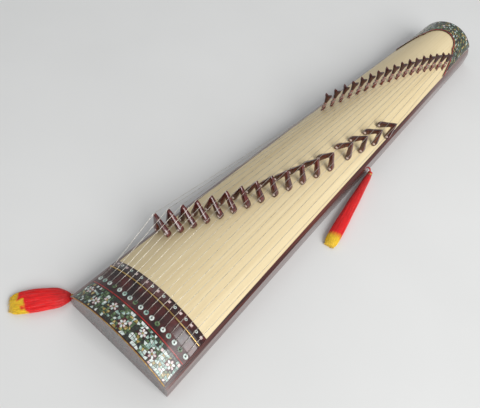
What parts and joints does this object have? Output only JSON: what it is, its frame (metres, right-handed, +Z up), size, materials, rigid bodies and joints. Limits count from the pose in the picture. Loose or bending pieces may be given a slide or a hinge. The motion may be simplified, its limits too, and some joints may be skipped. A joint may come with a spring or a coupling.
{
  "type": "seventeen-string zither",
  "caption": "Long arched plucked zither with movable bridges, slanting tuning pegs, inlaid head and tail cap, and two silk tassels.",
  "frame": {"origin": "on the ground under the middle of the body, tassels left out", "axes": "+X from the head to the tail, +Z up, +Y to the high strings' side"},
  "size_m": [1.1729, 0.3216, 0.1197],
  "materials": {
    "soundboard_wood": "pale straight-grained wood, satin",
    "rail_wood": "dark rosewood, glossy",
    "bottom_wood": "plain wood, matt",
    "head_lacquer": "dark red lacquer on wood, glossy",
    "rod_brass": "worn brass",
    "cap_lacquer": "dark red lacquer on wood, glossy",
    "bridge_wood": "dark rosewood, glossy",
    "peg_wood": "dark rosewood, glossy",
    "string_steel": "drawn steel wire",
    "tassel_silk": "red silk with yellow ends"
  },
  "bodies": {
    "body": {"soundboard": "soundboard_wood", "left_rail": "rail_wood", "right_rail": "rail_wood", "bottom_board": "bottom_wood", "head_block": "head_lacquer", "nut_rod": "rod_brass", "tail_cap": "cap_lacquer", "tassel_left": "tassel_silk", "tassel_right": "tassel_silk", "string_01": "string_steel", "string_02": "string_steel", "string_03": "string_steel", "string_04": "string_steel", "string_05": "string_steel", "string_06": "string_steel", "string_07": "string_steel", "string_08": "string_steel", "string_09": "string_steel", "string_10": "string_steel", "string_11": "string_steel", "string_12": "string_steel", "string_13": "string_steel", "string_14": "string_steel", "string_15": "string_steel", "string_16": "string_steel", "string_17": "string_steel"},
    "bridge_01": {"bridge_01": "bridge_wood"},
    "bridge_02": {"bridge_02": "bridge_wood"},
    "bridge_03": {"bridge_03": "bridge_wood"},
    "bridge_04": {"bridge_04": "bridge_wood"},
    "bridge_05": {"bridge_05": "bridge_wood"},
    "bridge_06": {"bridge_06": "bridge_wood"},
    "bridge_07": {"bridge_07": "bridge_wood"},
    "bridge_08": {"bridge_08": "bridge_wood"},
    "bridge_09": {"bridge_09": "bridge_wood"},
    "bridge_10": {"bridge_10": "bridge_wood"},
    "bridge_11": {"bridge_11": "bridge_wood"},
    "bridge_12": {"bridge_12": "bridge_wood"},
    "bridge_13": {"bridge_13": "bridge_wood"},
    "bridge_14": {"bridge_14": "bridge_wood"},
    "bridge_15": {"bridge_15": "bridge_wood"},
    "bridge_16": {"bridge_16": "bridge_wood"},
    "bridge_17": {"bridge_17": "bridge_wood"},
    "peg_01": {"peg_01": "peg_wood"},
    "peg_02": {"peg_02": "peg_wood"},
    "peg_03": {"peg_03": "peg_wood"},
    "peg_04": {"peg_04": "peg_wood"},
    "peg_05": {"peg_05": "peg_wood"},
    "peg_06": {"peg_06": "peg_wood"},
    "peg_07": {"peg_07": "peg_wood"},
    "peg_08": {"peg_08": "peg_wood"},
    "peg_09": {"peg_09": "peg_wood"},
    "peg_10": {"peg_10": "peg_wood"},
    "peg_11": {"peg_11": "peg_wood"},
    "peg_12": {"peg_12": "peg_wood"},
    "peg_13": {"peg_13": "peg_wood"},
    "peg_14": {"peg_14": "peg_wood"},
    "peg_15": {"peg_15": "peg_wood"},
    "peg_16": {"peg_16": "peg_wood"},
    "peg_17": {"peg_17": "peg_wood"}
  },
  "joints": [
    {"name": "bridge_01_slide", "type": "slide", "parent": "body", "child": "bridge_01", "axis": [0.9986, -0.046, 0.0262], "range_m": [-0.0041, 0.0041], "deforming": ["string_01"]},
    {"name": "bridge_02_slide", "type": "slide", "parent": "body", "child": "bridge_02", "axis": [0.9991, -0.0379, 0.0191], "range_m": [-0.0041, 0.0041], "deforming": ["string_02"]},
    {"name": "bridge_03_slide", "type": "slide", "parent": "body", "child": "bridge_03", "axis": [0.9994, -0.0303, 0.014], "range_m": [-0.0047, 0.0047], "deforming": ["string_03"]},
    {"name": "bridge_04_slide", "type": "slide", "parent": "body", "child": "bridge_04", "axis": [0.9997, -0.0232, 0.0103], "range_m": [-0.0053, 0.0053], "deforming": ["string_04"]},
    {"name": "bridge_05_slide", "type": "slide", "parent": "body", "child": "bridge_05", "axis": [0.9998, -0.0166, 0.0078], "range_m": [-0.0059, 0.0059], "deforming": ["string_05"]},
    {"name": "bridge_06_slide", "type": "slide", "parent": "body", "child": "bridge_06", "axis": [0.9999, -0.0104, 0.0063], "range_m": [-0.0066, 0.0066], "deforming": ["string_06"]},
    {"name": "bridge_07_slide", "type": "slide", "parent": "body", "child": "bridge_07", "axis": [1, -0.0046, 0.0054], "range_m": [-0.0072, 0.0072], "deforming": ["string_07"]},
    {"name": "bridge_08_slide", "type": "slide", "parent": "body", "child": "bridge_08", "axis": [1, 0.0009, 0.0052], "range_m": [-0.008, 0.008], "deforming": ["string_08"]},
    {"name": "bridge_09_slide", "type": "slide", "parent": "body", "child": "bridge_09", "axis": [1, 0.0061, 0.0054], "range_m": [-0.0088, 0.0088], "deforming": ["string_09"]},
    {"name": "bridge_10_slide", "type": "slide", "parent": "body", "child": "bridge_10", "axis": [0.9999, 0.0111, 0.0059], "range_m": [-0.0096, 0.0096], "deforming": ["string_10"]},
    {"name": "bridge_11_slide", "type": "slide", "parent": "body", "child": "bridge_11", "axis": [0.9999, 0.0157, 0.0066], "range_m": [-0.0105, 0.0105], "deforming": ["string_11"]},
    {"name": "bridge_12_slide", "type": "slide", "parent": "body", "child": "bridge_12", "axis": [0.9998, 0.0201, 0.0074], "range_m": [-0.0114, 0.0114], "deforming": ["string_12"]},
    {"name": "bridge_13_slide", "type": "slide", "parent": "body", "child": "bridge_13", "axis": [0.9997, 0.0243, 0.0081], "range_m": [-0.0124, 0.0124], "deforming": ["string_13"]},
    {"name": "bridge_14_slide", "type": "slide", "parent": "body", "child": "bridge_14", "axis": [0.9996, 0.0282, 0.0086], "range_m": [-0.0145, 0.0145], "deforming": ["string_14"]},
    {"name": "bridge_15_slide", "type": "slide", "parent": "body", "child": "bridge_15", "axis": [0.9994, 0.032, 0.0089], "range_m": [-0.0145, 0.0145], "deforming": ["string_15"]},
    {"name": "bridge_16_slide", "type": "slide", "parent": "body", "child": "bridge_16", "axis": [0.9993, 0.0356, 0.0086], "range_m": [-0.0157, 0.0157], "deforming": ["string_16"]},
    {"name": "bridge_17_slide", "type": "slide", "parent": "body", "child": "bridge_17", "axis": [0.9992, 0.0391, 0.0075], "range_m": [-0.0169, 0.0169], "deforming": ["string_17"]},
    {"name": "peg_01_turn", "type": "hinge", "parent": "body", "child": "peg_01", "pos_m": [0.067, 0.063, 0.05459], "axis": [0, -0.0698, 0.9976], "continuous": true},
    {"name": "peg_02_turn", "type": "hinge", "parent": "body", "child": "peg_02", "pos_m": [0.08769, 0.05575, 0.0587], "axis": [0, -0.0698, 0.9976], "continuous": true},
    {"name": "peg_03_turn", "type": "hinge", "parent": "body", "child": "peg_03", "pos_m": [0.10837, 0.0485, 0.06232], "axis": [0, -0.0698, 0.9976], "continuous": true},
    {"name": "peg_04_turn", "type": "hinge", "parent": "body", "child": "peg_04", "pos_m": [0.12906, 0.04125, 0.06547], "axis": [0, -0.0698, 0.9976], "continuous": true},
    {"name": "peg_05_turn", "type": "hinge", "parent": "body", "child": "peg_05", "pos_m": [0.14975, 0.034, 0.06815], "axis": [0, -0.0698, 0.9976], "continuous": true},
    {"name": "peg_06_turn", "type": "hinge", "parent": "body", "child": "peg_06", "pos_m": [0.17044, 0.02675, 0.07037], "axis": [0, -0.0698, 0.9976], "continuous": true},
    {"name": "peg_07_turn", "type": "hinge", "parent": "body", "child": "peg_07", "pos_m": [0.19112, 0.0195, 0.07212], "axis": [0, -0.0698, 0.9976], "continuous": true},
    {"name": "peg_08_turn", "type": "hinge", "parent": "body", "child": "peg_08", "pos_m": [0.21181, 0.01225, 0.07338], "axis": [0, -0.0698, 0.9976], "continuous": true},
    {"name": "peg_09_turn", "type": "hinge", "parent": "body", "child": "peg_09", "pos_m": [0.2325, 0.005, 0.07414], "axis": [0, -0.0698, 0.9976], "continuous": true},
    {"name": "peg_10_turn", "type": "hinge", "parent": "body", "child": "peg_10", "pos_m": [0.25319, -0.00225, 0.07435], "axis": [0, -0.0698, 0.9976], "continuous": true},
    {"name": "peg_11_turn", "type": "hinge", "parent": "body", "child": "peg_11", "pos_m": [0.27387, -0.0095, 0.07399], "axis": [0, -0.0698, 0.9976], "continuous": true},
    {"name": "peg_12_turn", "type": "hinge", "parent": "body", "child": "peg_12", "pos_m": [0.29456, -0.01675, 0.073], "axis": [0, -0.0698, 0.9976], "continuous": true},
    {"name": "peg_13_turn", "type": "hinge", "parent": "body", "child": "peg_13", "pos_m": [0.31525, -0.024, 0.0713], "axis": [0, -0.0698, 0.9976], "continuous": true},
    {"name": "peg_14_turn", "type": "hinge", "parent": "body", "child": "peg_14", "pos_m": [0.33594, -0.03125, 0.0688], "axis": [0, -0.0698, 0.9976], "continuous": true},
    {"name": "peg_15_turn", "type": "hinge", "parent": "body", "child": "peg_15", "pos_m": [0.35663, -0.0385, 0.06533], "axis": [0, -0.0698, 0.9976], "continuous": true},
    {"name": "peg_16_turn", "type": "hinge", "parent": "body", "child": "peg_16", "pos_m": [0.37731, -0.04575, 0.06067], "axis": [0, -0.0698, 0.9976], "continuous": true},
    {"name": "peg_17_turn", "type": "hinge", "parent": "body", "child": "peg_17", "pos_m": [0.398, -0.053, 0.05441], "axis": [0, -0.0698, 0.9976], "continuous": true}
  ]
}
